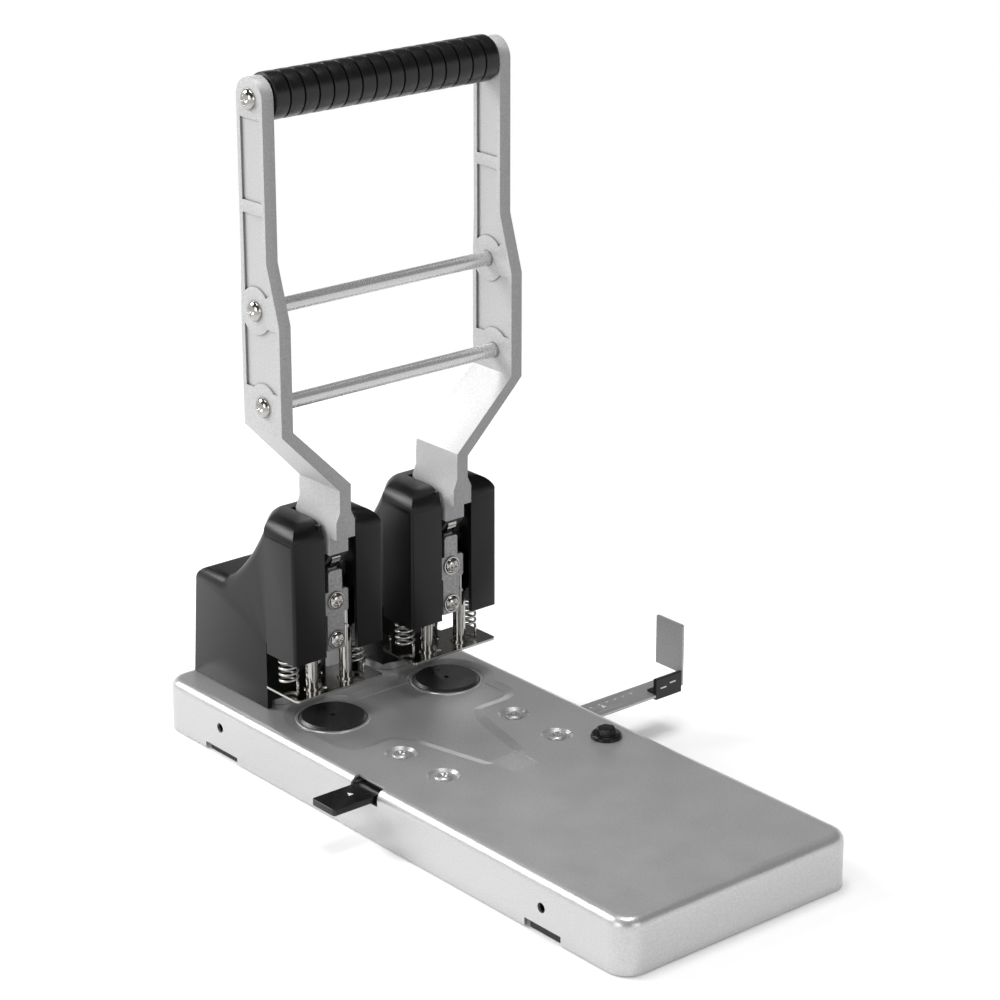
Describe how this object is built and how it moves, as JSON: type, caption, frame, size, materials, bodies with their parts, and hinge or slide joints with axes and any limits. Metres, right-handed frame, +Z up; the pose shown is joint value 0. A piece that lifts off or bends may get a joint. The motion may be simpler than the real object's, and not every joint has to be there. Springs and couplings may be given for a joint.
{
  "type": "paper drill",
  "caption": "Desk paper drill: a long lever presses hollow punches through a paper stack beside a sliding guide.",
  "frame": {"origin": "on the table, midway between the two punch axes, at the underside of the middle foot", "axes": "+Z up; -Y towards the user, where the lever comes down; +X to the user's right, where the guide is"},
  "size_m": [0.2471, 0.3864, 0.3919],
  "materials": {
    "base_steel": "metallic paint, fine grain",
    "plate_steel": "milled",
    "bright_steel": "polished",
    "spring_steel": "drawn wire",
    "ruler_steel": "satin",
    "slide_grey": "dark painted",
    "cast_aluminium": "cast, satin",
    "cover_plastic": "moulded, fine texture",
    "black_plastic": "moulded",
    "disc_plastic": "matt",
    "rubber": "matt"
  },
  "bodies": {
    "base": {"base_cover": "base_steel", "bottom_plate": "plate_steel", "bed_plate": "plate_steel", "ruler_channel": "plate_steel", "channel_screws": "bright_steel", "rubber_feet": "rubber", "bottom_screws": "bright_steel", "frame_bolts": "bright_steel", "axle_clips": "spring_steel", "hub_spacers": "bright_steel", "head_frame_left": "plate_steel", "head_cover_left": "cover_plastic", "axle_left": "bright_steel", "return_spring_left": "spring_steel", "head_frame_right": "plate_steel", "head_cover_right": "cover_plastic", "axle_right": "bright_steel", "return_spring_right": "spring_steel"},
    "handle": {"grip": "rubber", "grip_bar": "bright_steel", "upper_cross_rod": "bright_steel", "lower_cross_rod": "bright_steel", "lever_arm_left": "cast_aluminium", "press_roller_left": "bright_steel", "arm_screws_left": "bright_steel", "lever_arm_right": "cast_aluminium", "press_roller_right": "bright_steel", "arm_screws_right": "bright_steel"},
    "guide": {"guide_ruler": "ruler_steel", "ruler_cap": "black_plastic", "ruler_stop_block": "black_plastic", "side_stop": "ruler_steel"},
    "knob": {"lock_knob": "black_plastic"},
    "slide_left": {"slide_block_left": "plate_steel", "slide_plate_left": "slide_grey", "slide_screws_left": "bright_steel", "hollow_punch_left": "bright_steel"},
    "plate_left": {"pressure_plate_left": "bright_steel", "plate_pins_left": "bright_steel", "plate_springs_left": "spring_steel"},
    "disc_left": {"cutting_disc_left": "disc_plastic"},
    "slide_right": {"slide_block_right": "plate_steel", "slide_plate_right": "slide_grey", "slide_screws_right": "bright_steel", "hollow_punch_right": "bright_steel"},
    "plate_right": {"pressure_plate_right": "bright_steel", "plate_pins_right": "bright_steel", "plate_springs_right": "spring_steel"},
    "disc_right": {"cutting_disc_right": "disc_plastic"}
  },
  "joints": [
    {"name": "handle_swing", "type": "hinge", "parent": "base", "child": "handle", "pos_m": [0, 0.0007, 0.1167], "axis": [1, 0, 0], "range_deg": [0, 70], "stiffness_Nm_per_rad": 3, "springref_deg": -28.65, "deforming": ["return_spring_left", "return_spring_right"]},
    {"name": "guide_slide", "type": "slide", "parent": "base", "child": "guide", "axis": [1, 0, 0], "range_m": [-0.042, 0.044]},
    {"name": "knob_turn", "type": "hinge", "parent": "base", "child": "knob", "pos_m": [0.058, -0.129, 0.0306], "axis": [0, 0, 1], "range_deg": [-90, 0]},
    {"name": "punch_left", "type": "slide", "parent": "base", "child": "slide_left", "axis": [0, 0, -1], "range_m": [0, 0.021]},
    {"name": "plate_lift_left", "type": "slide", "parent": "slide_left", "child": "plate_left", "axis": [0, 0, 1], "range_m": [0, 0.005], "deforming": ["plate_springs_left"]},
    {"name": "disc_turn_left", "type": "hinge", "parent": "base", "child": "disc_left", "pos_m": [-0.0376, -0.0118, 0.0306], "axis": [0, 0, 1], "continuous": true},
    {"name": "punch_right", "type": "slide", "parent": "base", "child": "slide_right", "axis": [0, 0, -1], "range_m": [0, 0.021]},
    {"name": "plate_lift_right", "type": "slide", "parent": "slide_right", "child": "plate_right", "axis": [0, 0, 1], "range_m": [0, 0.005], "deforming": ["plate_springs_right"]},
    {"name": "disc_turn_right", "type": "hinge", "parent": "base", "child": "disc_right", "pos_m": [0.0424, -0.0118, 0.0306], "axis": [0, 0, 1], "continuous": true}
  ],
  "couplings": [
    {"joint": "punch_left", "follows": "handle_swing", "m_per_rad": 0.016861},
    {"joint": "plate_lift_left", "follows": "handle_swing", "m_per_rad": 0.003765},
    {"joint": "punch_right", "follows": "handle_swing", "m_per_rad": 0.016861},
    {"joint": "plate_lift_right", "follows": "handle_swing", "m_per_rad": 0.003765}
  ]
}
